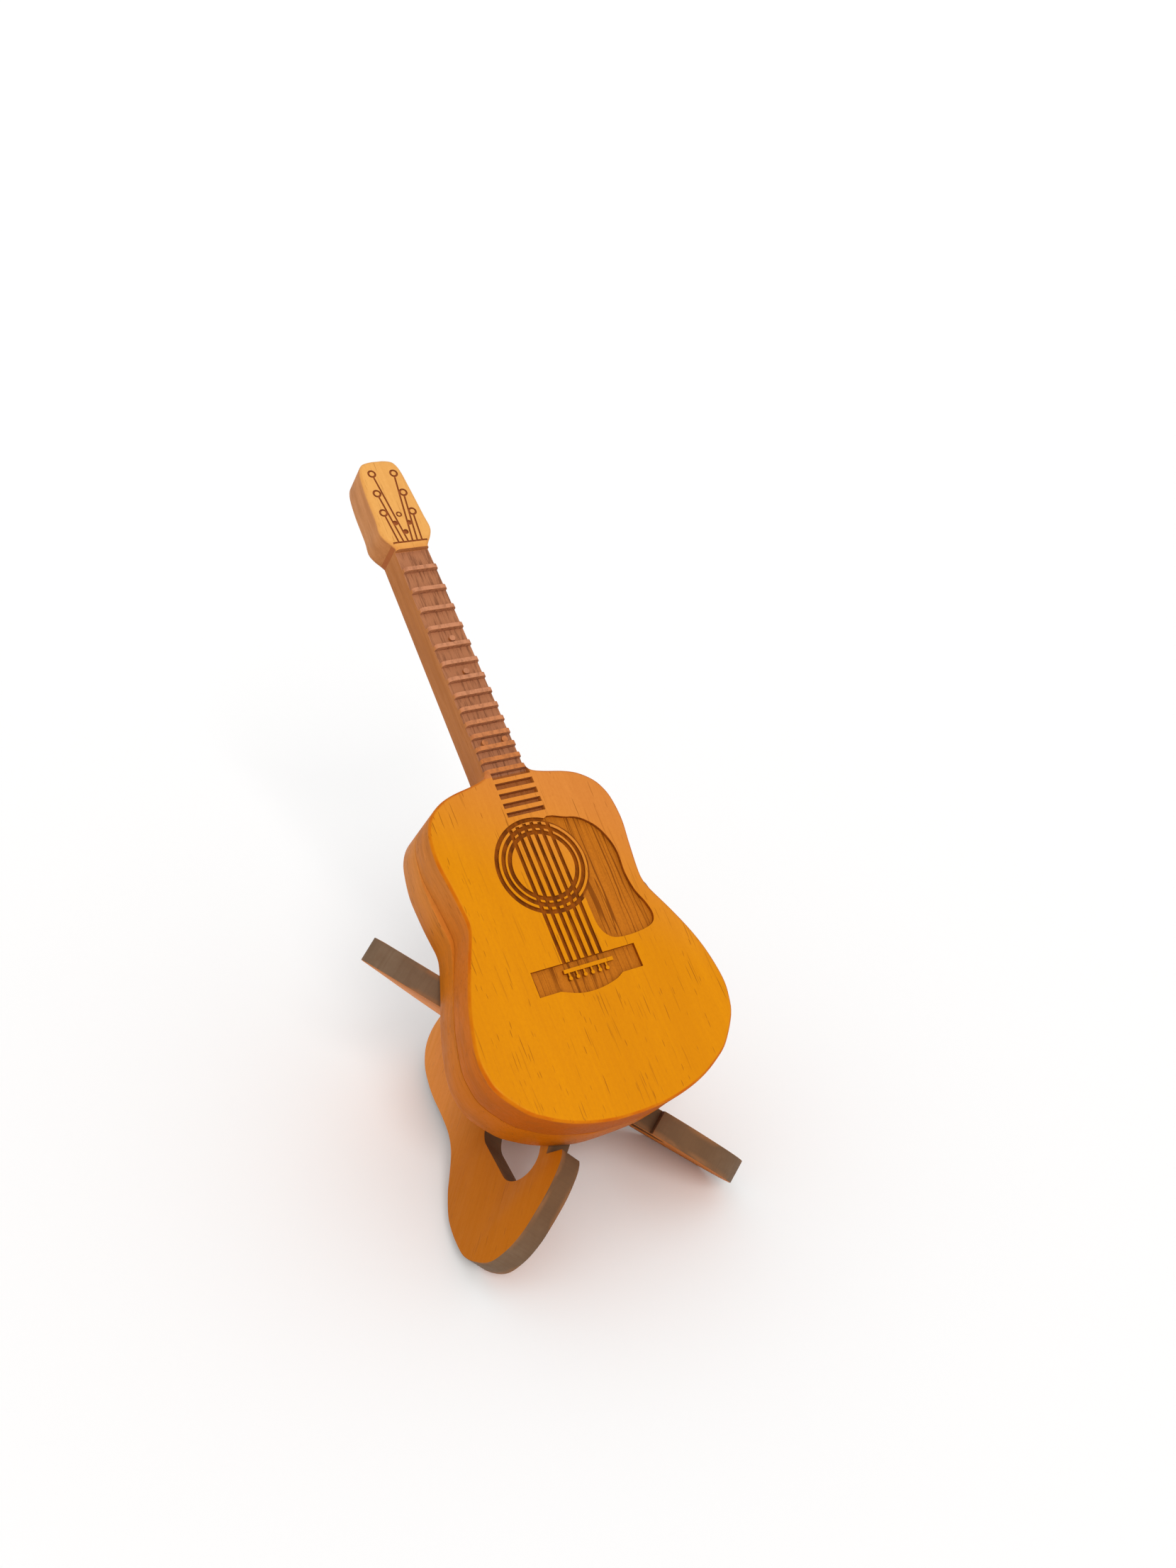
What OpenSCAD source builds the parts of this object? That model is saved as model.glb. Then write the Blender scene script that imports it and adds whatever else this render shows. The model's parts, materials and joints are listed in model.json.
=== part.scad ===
/* [Guitar] */
// overall length from the foot of the body to the head, mm
guitar_length = 165; // [150:5:185]
// thickness of the body with both layers, mm
body_thickness = 19.4; // [18.4:0.2:20.4]
// depth of the fine carved lines, mm
line_depth = 0.55; // [0.3:0.05:0.8]
// depth of the carved pickguard and bridge, mm
recess_depth = 0.9; // [0.6:0.1:1.4]
// depth of the pockets between the frets, mm
fret_depth = 1.5; // [0.9:0.1:2.0]

/* [Back tray] */
// depth of the pick pocket, mm
pocket_depth = 7; // [4:0.5:7.5]
// wall around the pick pocket, mm
pocket_wall = 6; // [5:0.5:8]
// radius of the pivot pin, mm
pin_radius = 2; // [1.5:0.25:2.5]

/* [Stand] */
// thickness of the stand boards, mm
board_thickness = 5.65; // [5.2:0.05:5.9]
// side play of a board in the other board's slot, mm
slot_play = 0.3; // [0.2:0.05:0.5]
// gap between the guitar and the arms of the stand, mm
rest_gap = 0.3; // [0.2:0.05:0.5]

/* [Hidden] */
$fn = 48;
k = guitar_length / 144.9;
lean = 54.4;
stand_tilt = 33.05;
half_angle = 46.67;
cross_y = -49.69 * k;
pivot_y = 12 * k;
front_t = body_thickness * 0.5;
layer_gap = 0.1;
foot_cut = 0.7;
world_tilt = 90 - lean + stand_tilt;
lift = 33.85 * k + board_thickness / 2 * sin(half_angle) * sin(world_tilt)
     - cross_y * sin(90 - lean) - foot_cut;
shift = -20.486 * k;

// smooth closed curve through the given points
function curve_at(a, b, c, d, t) =
    0.5 * (2 * b + (c - a) * t + (2 * a - 5 * b + 4 * c - d) * t * t
    + (3 * b - a - 3 * c + d) * t * t * t);
function smooth(p, steps) = [for (i = [0:len(p) - 1], j = [0:steps - 1])
    curve_at(p[(i + len(p) - 1) % len(p)], p[i], p[(i + 1) % len(p)],
             p[(i + 2) % len(p)], j / steps)];
// smooth open curve, its end points kept
function smooth_open(p, steps) = concat([for (i = [0:len(p) - 2], j = [0:steps - 1])
    curve_at(p[max(i - 1, 0)], p[i], p[i + 1], p[min(i + 2, len(p) - 1)], j / steps)],
    [p[len(p) - 1]]);
function mirrored(p) = [for (i = [len(p) - 1:-1:0]) [-p[i][0], p[i][1]]];
function fret(n) = 73.5 - 94.5 * (1 - pow(2, -n / 12));
// the outline with one side swollen by amount round the height middle, as hand sanding leaves it
function swollen(p, side, middle, reach, amount) = [for (q = p)
    let (near = max(0, 1 - pow((q[1] - middle) / reach, 2)),
         bulge = amount * near * near * min(1, abs(q[0]) / 3))
        [q[0] + (q[0] * side > 0 ? side * bulge : 0), q[1]]];
function right_swollen(p) = swollen(p, 1, -22, 18, 0.9);

body_half = [[4.2, 19.6], [7.95, 19.1], [12.3, 18.2], [15.3, 17.1], [18, 15.2], [19.6, 12.9],
    [20.5, 10], [20.8, 5.4], [20.2, 0.4], [19.6, -5], [19.5, -7.6], [20.1, -9.9],
    [22.2, -14.7], [24.6, -20.7], [26.1, -25.6], [27.2, -31], [27.1, -34.6], [26, -38.4],
    [22.3, -43.1], [18.9, -45.5], [15.1, -47.4], [10.7, -48.8], [5.5, -49.75]];
head_half = [[0, 94.95], [1.6, 94.9], [3.4, 94.3], [4.4, 92.2], [4.9, 88], [5.3, 83.8],
    [5.6, 80.4], [5.9, 77.6], [5.3, 75.8], [4.3, 74.3], [3.75, 73.4]];
heel = [[3.95, 24], [4.05, 21.8], [4.5, 20.5], [5.6, 19.75]];
guard = [[3.6, 9.0], [8.7, 8.5], [11.6, 7.6], [14.3, 5.2], [15.9, 2], [16.5, -1.3],
    [16.2, -5.4], [16.7, -9.3], [17.9, -12.3], [18.4, -15], [17.3, -16.8], [13.8, -17.6],
    [9.2, -17.6], [7, -16.5], [5.9, -14.2], [5.7, -10.5], [5.4, -7], [2, 0]];
belly = [[7, -24.3], [4.9, -25.3], [0.9, -26], [-3, -25.8], [-6.8, -24.5]];
leg = [[13.7, -11.3], [14.5, -10.5], [16.4, -9.5], [20.7, -8.4], [26, -8.0], [30.2, -8.1],
    [34.4, -9.3], [37.9, -12.1], [39.6, -18.0], [38.8, -23], [36.2, -29.6], [32.4, -34.8],
    [29.5, -37.7], [25.6, -41.8], [22.9, -46.2], [20.5, -52.4], [18.4, -58.8], [16.3, -63.9],
    [13.6, -69], [9.6, -73.4], [4.8, -75.2], [-1, -74.2], [-8, -70.3], [-20, -62],
    [-34.5, -50.4], [-40.4, -46.0], [-42.6, -44.0], [-42.9, -42.7]];

module scaled_polygon(p) { polygon([for (q = p) q * k]); }
module body_shape() {
    even = smooth(concat(body_half, mirrored(body_half)), 4);
    scaled_polygon(swollen(right_swollen(even), -1, -3, 14, 0.95));
}
module front_shape() {
    lower = [for (i = [1:len(body_half) - 1]) body_half[i]];
    right = concat(smooth_open(head_half, 3), smooth_open(concat(heel, lower, [[0, -50]]), 4));
    even = concat(right, mirrored([for (i = [1:len(right) - 2]) right[i]]));
    scaled_polygon(swollen(swollen(right_swollen(even), -1, 90, 11, 0.6), 1, 24, 9, 1.0));
}
module placed() { translate([0, shift, lift]) rotate([90 - lean, 0, 0]) children(); }
module groove(a, b, w, depth) {
    d = [b[0] - a[0], b[1] - a[1]];
    translate([a[0] * k, a[1] * k, -depth]) rotate([0, 0, atan2(d[1], d[0])])
        translate([0, -w * k / 2, 0]) cube([norm(d) * k, w * k, depth + 1]);
}
module ring_groove(x, y, r, w, depth) {
    translate([x * k, y * k, -depth]) rotate_extrude()
        translate([(r - w / 2) * k, 0]) square([w * k, depth + 1]);
}
module sunk(depth) { translate([0, 0, -depth]) linear_extrude(depth + 1) children(); }

// carved fingerboard: open pockets on the neck, closed ones on the body
module fret_pockets() {
    sunk(fret_depth) difference() {
        for (n = [0:18]) {
            over_body = n >= 14;
            low = fret(n + 1) + 0.4;
            high = n == 0 ? 72.9 : fret(n) - 0.5;
            left = over_body ? -3.3 : -7;
            right = over_body ? 5.1 : 7;
            translate([left * k, low * k]) square([(right - left) * k, (high - low) * k]);
        }
        for (p = [[0.8, 51.4], [0.9, 43.6], [-1.4, 27.5], [3.1, 27.5]])
            translate(p * k) circle(0.65 * k, $fn = 20);
    }
}
module rosette() {
    for (r = [6.92, 8.2, 9.6]) ring_groove(0, 0, r, 0.88, line_depth, $fn = 72);
    for (i = [0:5]) {
        x = (i - 2.5) * 1.63 + 0.15;
        groove([x, 9.2 - abs(i - 2.5) * 0.35], [x, -19.6], 0.8, line_depth);
    }
}
module pickguard() {
    sunk(recess_depth) difference() {
        scaled_polygon(smooth(guard, 3));
        circle(9.7 * k, $fn = 72);
    }
}
module bridge() {
    sunk(recess_depth) difference() {
        scaled_polygon(concat([[-11.3, -24.5], [-11.3, -19.5], [11.7, -19.5], [11.7, -24.3]],
            smooth_open(belly, 3)));
        translate([-4.7 * k, -21.5 * k]) square([10.9 * k, 0.75 * k]);
        for (i = [0:5]) translate([((i - 2.5) * 1.63 + 0.35) * k, -22.6 * k]) {
            circle(0.36 * k, $fn = 16);
            translate([-0.17 * k, 0]) square([0.34 * k, 1.3 * k]);
        }
    }
}
module head_carving() {
    pegs = [[-2.5, 91.6], [-3.1, 86.7], [-3.4, 81.9], [3.1, 81.6], [2.8, 86.4], [2.4, 91.3]];
    for (p = pegs) ring_groove(p[0], p[1], 0.74, 0.44, line_depth * 0.8, $fn = 24);
    ends = [-0.5, -1.55, -2.65, 2.65, 1.55, 0.5];
    for (i = [0:5]) let (e = [ends[i], 74.6], d = (e - pegs[i]) / norm(e - pegs[i]))
        groove(pegs[i] + d * 0.85, e, 0.4, line_depth * 0.7);
    groove([-3.9, 74.5], [3.9, 74.5], 0.4, line_depth * 0.7);
    for (p = [[-1.7, 79.2], [1.4, 79], [-0.15, 76.9]])
        translate([p[0] * k, p[1] * k, -line_depth]) cylinder(r = 0.6 * k, h = 2, $fn = 20);
    ring_groove(-0.15, 81.2, 0.5, 0.34, line_depth * 0.6, $fn = 20);
}

module guitar_front() {
    color([0.86, 0.55, 0.16]) placed() difference() {
        translate([0, 0, -front_t]) linear_extrude(front_t) front_shape();
        fret_pockets();
        rosette();
        pickguard();
        bridge();
        head_carving();
        translate([0, pivot_y, -front_t - 1]) cylinder(r = pin_radius - 0.02, h = 7);
    }
}

module guitar_back() {
    color([0.78, 0.48, 0.22]) placed() difference() {
        translate([0, 0, -body_thickness])
            linear_extrude(body_thickness - front_t - layer_gap) body_shape();
        translate([0, 0, -front_t - pocket_depth]) linear_extrude(pocket_depth + 1)
            offset(r = 4) offset(delta = -4) intersection() {
                offset(delta = -pocket_wall) body_shape();
                translate([-40 * k, -60 * k]) square([80 * k, 62 * k]);
            }
        translate([0, pivot_y, -body_thickness - 1])
            cylinder(r = pin_radius + 0.05, h = body_thickness);
        translate([0, pivot_y, -body_thickness - 1]) cylinder(r = pin_radius * 2 + 0.1, h = 2.4);
    }
}

module pivot_pin() {
    color([0.75, 0.75, 0.77]) placed() translate([0, pivot_y, -body_thickness + 0.1]) {
        cylinder(r = pin_radius, h = body_thickness - front_t + 5.7);
        cylinder(r = pin_radius * 2, h = 1.2);
    }
}

// outline of one board: first coordinate out from the crossing, second along it to the front
function arm_front(s) = (-(body_thickness + rest_gap) / k
    - board_thickness / 2 / k * sin(half_angle) * sin(stand_tilt)
    + s * cos(half_angle) * sin(stand_tilt)) / cos(stand_tilt);
module board_shape() {
    difference() {
        scaled_polygon(concat([[-42.3, arm_front(-42.3) - 0.5], [-41.8, arm_front(-41.8)],
            [15.9, arm_front(15.9)]], smooth_open(leg, 4)));
        hull() {
            translate([19, -21] * k) circle(4.9 * k);
            translate([14.6, -31] * k) circle(6.2 * k);
            translate([9.4, -26] * k) circle(3.6 * k);
        }
    }
}
// side: -1 for the board whose foot is on the left, 1 for the other
module board(side) {
    middle = -48.3 * k;
    slot = board_thickness * 1.06 + slot_play;
    difference() {
        placed() translate([0, cross_y, 0]) rotate([stand_tilt, 0, 0])
            rotate([0, 0, -90 + side * half_angle]) rotate([90, 0, 0])
            translate([0, 0, -board_thickness / 2]) linear_extrude(board_thickness)
            difference() {
                board_shape();
                translate([-slot / 2, side < 0 ? middle - slot_play / 2 : middle - 40 * k])
                    square([slot, 40 * k + slot_play / 2]);
            }
        translate([-100, -150, -20]) cube([200, 300, 20]);
    }
}
module stand_left_board() { color([0.68, 0.4, 0.14]) board(-1); }
module stand_right_board() { color([0.68, 0.4, 0.14]) board(1); }

guitar_front();
guitar_back();
pivot_pin();
stand_left_board();
stand_right_board();
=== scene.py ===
import json
import math

import bpy
from mathutils import Matrix, Vector


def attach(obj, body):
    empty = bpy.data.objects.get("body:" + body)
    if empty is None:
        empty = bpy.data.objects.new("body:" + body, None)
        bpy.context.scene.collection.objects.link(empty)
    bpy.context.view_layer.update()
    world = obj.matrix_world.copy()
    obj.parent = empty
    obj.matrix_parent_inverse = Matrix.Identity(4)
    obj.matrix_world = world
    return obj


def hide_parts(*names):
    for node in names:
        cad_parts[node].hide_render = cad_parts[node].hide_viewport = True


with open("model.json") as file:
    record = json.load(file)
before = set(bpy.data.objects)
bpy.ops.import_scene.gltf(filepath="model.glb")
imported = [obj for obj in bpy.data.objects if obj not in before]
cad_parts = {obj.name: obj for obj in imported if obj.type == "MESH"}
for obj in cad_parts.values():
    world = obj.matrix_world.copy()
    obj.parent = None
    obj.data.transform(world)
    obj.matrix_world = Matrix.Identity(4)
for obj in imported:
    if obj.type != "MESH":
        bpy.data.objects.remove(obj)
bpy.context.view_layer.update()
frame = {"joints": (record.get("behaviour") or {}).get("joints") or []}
mm = 0.001
smoothAngle = math.radians(30)         # edges sharper than this stay crisp

joints = {joint["name"]: joint for joint in frame["joints"]}
swing = joints["tray_swing"]

guitar = {
    "length": 165 * mm,
    "thickness": 19.4 * mm,
    "frontShare": 0.5,
    "layerGap": 0.1 * mm,
    "pivotAlong": 12,          # in guitar units, up from the middle of the sound hole
    "pivotDepth": 12 * mm,
    "pinRadius": 2 * mm,
}
unit = guitar["length"] / 144.9        # one guitar unit in metres
frontThickness = guitar["thickness"] * guitar["frontShare"]
leanTurn = math.atan2(-swing["axis"][1], swing["axis"][2])
guitarPlace = (Matrix.Translation(swing["pos_m"]) @ Matrix.Rotation(leanTurn, 4, "X")
               @ Matrix.Translation((0, -guitar["pivotAlong"] * unit, guitar["pivotDepth"])))


def curvePoint(a, b, c, d, t):
    return 0.5 * (2 * b + (c - a) * t + (2 * a - 5 * b + 4 * c - d) * t * t
                  + (3 * b - a - 3 * c + d) * t * t * t)


def smoothOpen(points, steps):
    # smooth curve through the points, both ends kept
    points = [Vector(p) for p in points]
    last = len(points) - 1
    curve = []
    for i in range(last):
        around = [points[max(i - 1, 0)], points[i], points[i + 1], points[min(i + 2, last)]]
        curve += [curvePoint(*around, j / steps) for j in range(steps)]
    return curve + [points[last]]


def smoothClosed(points, steps):
    points = [Vector(p) for p in points]
    count = len(points)
    curve = []
    for i in range(count):
        around = [points[(i + j) % count] for j in (-1, 0, 1, 2)]
        curve += [curvePoint(*around, j / steps) for j in range(steps)]
    return curve


def mirrored(points):
    return [Vector((-p[0], p[1])) for p in reversed(points)]


def swollen(points, side, middle, reach, amount):
    # one side of the outline swells round this height, as hand sanding leaves it
    moved = []
    for point in points:
        near = max(0, 1 - ((point.y - middle) / reach) ** 2)
        bulge = amount * near * near * min(1, abs(point.x) / 3)
        moved.append(Vector((point.x + side * bulge, point.y)) if point.x * side > 0 else point)
    return moved


def fret(n):
    # equal-tempered spacing down from the nut
    return front["nut"] - front["scaleLength"] * (1 - 2 ** (-n / 12))


def clearSelection():
    bpy.ops.object.select_all(action="DESELECT")


def onlySelect(piece):
    clearSelection()
    piece.select_set(True)
    bpy.context.view_layer.objects.active = piece


def editAll(piece, mode="FACE"):
    onlySelect(piece)
    bpy.ops.object.mode_set(mode="EDIT")
    bpy.ops.mesh.select_mode(type=mode)
    bpy.ops.mesh.select_all(action="SELECT")


def leaveEdit():
    bpy.ops.object.mode_set(mode="OBJECT")


def slab(name, outline, low, high):
    # a flat plate of this outline, from height low to height high; outline in guitar units
    clearSelection()
    bpy.ops.mesh.primitive_circle_add(vertices=len(outline), radius=0.01, fill_type="NGON")
    piece = bpy.context.object
    piece.name = name
    for vertex, point in zip(piece.data.vertices, outline):
        vertex.co = (point[0] * unit, point[1] * unit, low)
    editAll(piece)
    bpy.ops.mesh.extrude_region_move(TRANSFORM_OT_translate={"value": (0, 0, high - low)})
    bpy.ops.mesh.select_all(action="SELECT")
    bpy.ops.mesh.normals_make_consistent(inside=False)
    leaveEdit()
    return piece


def roundRim(piece, height, width, segments):
    # bevels the edges that lie wholly at this height
    onlySelect(piece)
    bpy.ops.object.mode_set(mode="EDIT")
    bpy.ops.mesh.select_mode(type="EDGE")
    bpy.ops.mesh.select_all(action="DESELECT")
    leaveEdit()
    points = piece.data.vertices
    for edge in piece.data.edges:
        edge.select = all(abs(points[v].co.z - height) < 1e-6 for v in edge.vertices)
    bpy.ops.object.mode_set(mode="EDIT")
    bpy.ops.mesh.bevel(offset=width, segments=segments, profile=0.5, clamp_overlap=False)
    leaveEdit()


def roundSharp(piece, width, segments, angle=35):
    bevel = piece.modifiers.new("softEdges", "BEVEL")
    bevel.width = width
    bevel.segments = segments
    bevel.limit_method = "ANGLE"
    bevel.angle_limit = math.radians(angle)
    onlySelect(piece)
    bpy.ops.object.modifier_apply(modifier=bevel.name)


def box(xRange, yRange, zRange):
    # xRange and yRange in guitar units, zRange in metres
    clearSelection()
    size = [(xRange[1] - xRange[0]) * unit, (yRange[1] - yRange[0]) * unit, zRange[1] - zRange[0]]
    middle = [(xRange[1] + xRange[0]) / 2 * unit, (yRange[1] + yRange[0]) / 2 * unit,
              (zRange[1] + zRange[0]) / 2]
    bpy.ops.mesh.primitive_cube_add(size=1, location=middle)
    piece = bpy.context.object
    piece.scale = size
    bpy.ops.object.transform_apply(location=True, rotation=True, scale=True)
    return piece


def disc(x, y, radius, zRange, sides=32):
    clearSelection()
    bpy.ops.mesh.primitive_cylinder_add(
        vertices=sides, radius=radius * unit, depth=zRange[1] - zRange[0],
        location=(x * unit, y * unit, (zRange[0] + zRange[1]) / 2))
    piece = bpy.context.object
    bpy.ops.object.transform_apply(location=True, rotation=True, scale=True)
    return piece


def ring(x, y, radius, width, zRange, sides=48):
    # square-sectioned ring: a disc whose middle is inset and bridged through
    piece = disc(x, y, radius + width / 2, zRange, sides)
    editAll(piece)
    bpy.ops.mesh.select_all(action="DESELECT")
    leaveEdit()
    for face in piece.data.polygons:
        face.select = abs(face.normal.z) > 0.9
    bpy.ops.object.mode_set(mode="EDIT")
    bpy.ops.mesh.inset(thickness=width * unit, use_even_offset=True)
    bpy.ops.mesh.bridge_edge_loops()
    bpy.ops.mesh.select_all(action="SELECT")
    bpy.ops.mesh.normals_make_consistent(inside=False)
    leaveEdit()
    return piece


def bar(start, end, width, zRange):
    # a straight bar between two points in guitar units
    start, end = Vector(start), Vector(end)
    run = end - start
    piece = box((0, run.length), (-width / 2, width / 2), zRange)
    piece.rotation_euler.z = math.atan2(run.y, run.x)
    piece.location = (start.x * unit, start.y * unit, 0)
    onlySelect(piece)
    bpy.ops.object.transform_apply(location=True, rotation=True, scale=True)
    return piece


def joined(pieces):
    clearSelection()
    for piece in pieces:
        piece.select_set(True)
    bpy.context.view_layer.objects.active = pieces[0]
    bpy.ops.object.join()
    return bpy.context.object


def combine(piece, tools, operation="DIFFERENCE"):
    # cuts the tools away from the piece, or welds them on; the tools are used up
    tool = joined(tools) if len(tools) > 1 else tools[0]
    step = piece.modifiers.new("combine", "BOOLEAN")
    step.operation = operation
    step.solver = "EXACT"
    step.use_self = len(tools) > 1
    step.object = tool
    onlySelect(piece)
    bpy.ops.object.modifier_apply(modifier=step.name)
    bpy.data.objects.remove(tool)


def settle(piece, place):
    # puts the finished piece in the row frame with its place in its mesh
    piece.matrix_world = place
    onlySelect(piece)
    bpy.ops.object.transform_apply(location=True, rotation=True, scale=True)
    bpy.ops.object.mode_set(mode="EDIT")
    bpy.ops.mesh.select_all(action="SELECT")
    bpy.ops.mesh.remove_doubles(threshold=2e-6)
    bpy.ops.mesh.dissolve_degenerate(threshold=1e-6)
    leaveEdit()
    bpy.ops.object.shade_smooth_by_angle(angle=smoothAngle)


class Recipe:
    # builds a node material by short calls
    def __init__(self, name):
        self.material = bpy.data.materials.new(name)
        self.material.use_nodes = True
        self.tree = self.material.node_tree
        self.shader = self.tree.nodes["Principled BSDF"]

    def add(self, kind, inputs=None, **settings):
        node = self.tree.nodes.new(kind)
        for key, value in settings.items():
            setattr(node, key, value)
        for key, value in (inputs or {}).items():
            if isinstance(value, bpy.types.NodeSocket):
                self.tree.links.new(value, node.inputs[key])
            else:
                node.inputs[key].default_value = value
        return node

    def math(self, operation, a, b=0.0):
        return self.add("ShaderNodeMath", {0: a, 1: b}, operation=operation).outputs[0]

    def fade(self, value, low, high, toLow=0.0, toHigh=1.0):
        # smooth step of value between low and high
        node = self.add("ShaderNodeMapRange", {"Value": value, "From Min": low, "From Max": high,
                                               "To Min": toLow, "To Max": toHigh},
                        interpolation_type="SMOOTHSTEP")
        return node.outputs[0]

    def blend(self, share, a, b):
        node = self.add("ShaderNodeMix", data_type="RGBA")
        colours = [socket for socket in node.inputs if socket.type == "RGBA"]
        for socket, value in ((node.inputs[0], share), (colours[0], a), (colours[1], b)):
            if isinstance(value, bpy.types.NodeSocket):
                self.tree.links.new(value, socket)
            else:
                socket.default_value = value if isinstance(value, float) else (*value, 1.0)
        return [socket for socket in node.outputs if socket.type == "RGBA"][0]

    def stretched(self, place, scale):
        # place is a vector socket; scale gives features per metre along each axis
        return self.add("ShaderNodeVectorMath", {0: place, 1: scale}, operation="MULTIPLY").outputs[0]

    def noise(self, place, scale, detail=3.0, rough=0.55):
        node = self.add("ShaderNodeTexNoise", {"Vector": self.stretched(place, scale), "Scale": 1.0,
                                               "Detail": detail, "Roughness": rough})
        return node.outputs[0]

    def cells(self, place, scale):
        # distance to the nearest cell point, and the cell's random colour
        node = self.add("ShaderNodeTexVoronoi", {"Vector": self.stretched(place, scale), "Scale": 1.0})
        return node.outputs["Distance"], node.outputs["Color"]

    def wander(self, place, scale, amount):
        # moves the pattern sideways a little, so that lines aren't ruler straight
        node = self.add("ShaderNodeTexNoise", {"Vector": self.stretched(place, scale), "Scale": 1.0,
                                               "Detail": 2.0})
        offset = self.add("ShaderNodeVectorMath", {0: node.outputs["Color"], 1: (0.5, 0.5, 0.5)},
                          operation="SUBTRACT").outputs[0]
        offset = self.add("ShaderNodeVectorMath", {0: offset, 1: (amount, 0, amount)},
                          operation="MULTIPLY").outputs[0]
        return self.add("ShaderNodeVectorMath", {0: place, 1: offset}, operation="ADD").outputs[0]

    def dashes(self, place, scale, share, reach, channel=0):
        # thin drawn-out marks, one in some of the cells
        distance, cellColour = self.cells(place, scale)
        chosen = self.add("ShaderNodeSeparateColor", {0: cellColour}).outputs[channel]
        size = self.math("MULTIPLY", self.fade(chosen, 1 - share, 1 - share * 0.4), reach)
        return self.fade(self.math("SUBTRACT", size, distance), -0.03, 0.05)

    def lines(self, place, scale, width, detail=2.0):
        # long wavering lines, where a drawn-out noise crosses its middle value
        height = self.noise(place, scale, detail)
        away = self.math("ABSOLUTE", self.math("SUBTRACT", height, 0.5))
        return self.fade(away, width, width * 0.3)

    def split(self, vector):
        return self.add("ShaderNodeSeparateXYZ", {0: vector}).outputs[:]

    def connect(self, socket, name):
        self.tree.links.new(socket, self.shader.inputs[name])

    def woodFinish(self, tone, rough, specular, relief, strength, depth):
        self.connect(tone, "Base Color")
        self.connect(rough, "Roughness")
        self.shader.inputs["Specular IOR Level"].default_value = specular
        bump = self.add("ShaderNodeBump", {"Height": relief, "Strength": strength, "Distance": depth})
        self.connect(bump.outputs[0], "Normal")
        return self.material


def localPlace(recipe, place):
    # Object coordinates turned back into a piece's own upright frame
    coordinates = recipe.add("ShaderNodeTexCoord")
    back = place.inverted()
    mapping = recipe.add("ShaderNodeMapping", {"Vector": coordinates.outputs["Object"]})
    mapping.inputs["Location"].default_value = back.to_translation()
    mapping.inputs["Rotation"].default_value = back.to_euler("XYZ")
    return mapping.outputs[0], coordinates.outputs["Normal"]


def facing(recipe, normal, direction):
    # how far the surface faces this direction, from -1 to 1
    node = recipe.add("ShaderNodeVectorMath", {0: normal, 1: direction}, operation="DOT_PRODUCT")
    return node.outputs["Value"]


def colour(red, green, blue):
    # display colour out of 255 to linear light
    return tuple((c / 255 / 12.92) if c / 255 <= 0.04045 else ((c / 255 + 0.055) / 1.055) ** 2.4
                 for c in (red, green, blue))


grain = {                      # scales are features per metre across, along and through
    "wander": ((140, 60, 140), 0.9 * mm),
    "figure": (85, 7, 85),
    "figureShare": 0.35,
    "fibre": (1500, 55, 1500),
    "fibreShare": 0.3,
    "speck": (1900, 1000, 1900),
    "speckShare": 0.3,
    "crowd": (100, 22, 100),
    "shortPores": ((2000, 210, 2000), 0.4, 0.2),       # scale, share of cells filled, reach
    "drawnPores": ((1750, 62, 1750), 0.7, 0.19),
    "faintPores": ((1500, 50, 1500), 0.9, 0.22),
    "faintShare": 0.45,
}


def woodBase(recipe, place, light, dark, pore, poreAmount=0.6):
    # open-grained timber with the grain along local Y: soft figure, fine fibre and thin dark pores
    place = recipe.wander(place, *grain["wander"])
    figure = recipe.fade(recipe.noise(place, grain["figure"], 3.0), 0.32, 0.68)
    fibre = recipe.fade(recipe.noise(place, grain["fibre"], 4.0, 0.65), 0.3, 0.72)
    speck = recipe.fade(recipe.noise(place, grain["speck"], 3.0, 0.7), 0.38, 0.72)
    tone = recipe.blend(recipe.math("MULTIPLY", figure, grain["figureShare"]), light, dark)
    tone = recipe.blend(recipe.math("MULTIPLY", fibre, grain["fibreShare"]), tone, dark)
    tone = recipe.blend(recipe.math("MULTIPLY", speck, grain["speckShare"]), tone, dark)
    crowd = recipe.fade(recipe.noise(place, grain["crowd"], 2.0), 0.36, 0.6, 0.3, 1.0)
    short = recipe.dashes(place, *grain["shortPores"])
    drawn = recipe.dashes(place, *grain["drawnPores"], 1)
    faint = recipe.dashes(place, *grain["faintPores"], 2)
    pores = recipe.math("MAXIMUM", recipe.math("MAXIMUM", short, drawn),
                        recipe.math("MULTIPLY", faint, grain["faintShare"]))
    pores = recipe.math("MULTIPLY", pores, crowd)
    tone = recipe.blend(recipe.math("MULTIPLY", pores, poreAmount), tone, pore)
    return tone, pores, fibre


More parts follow.
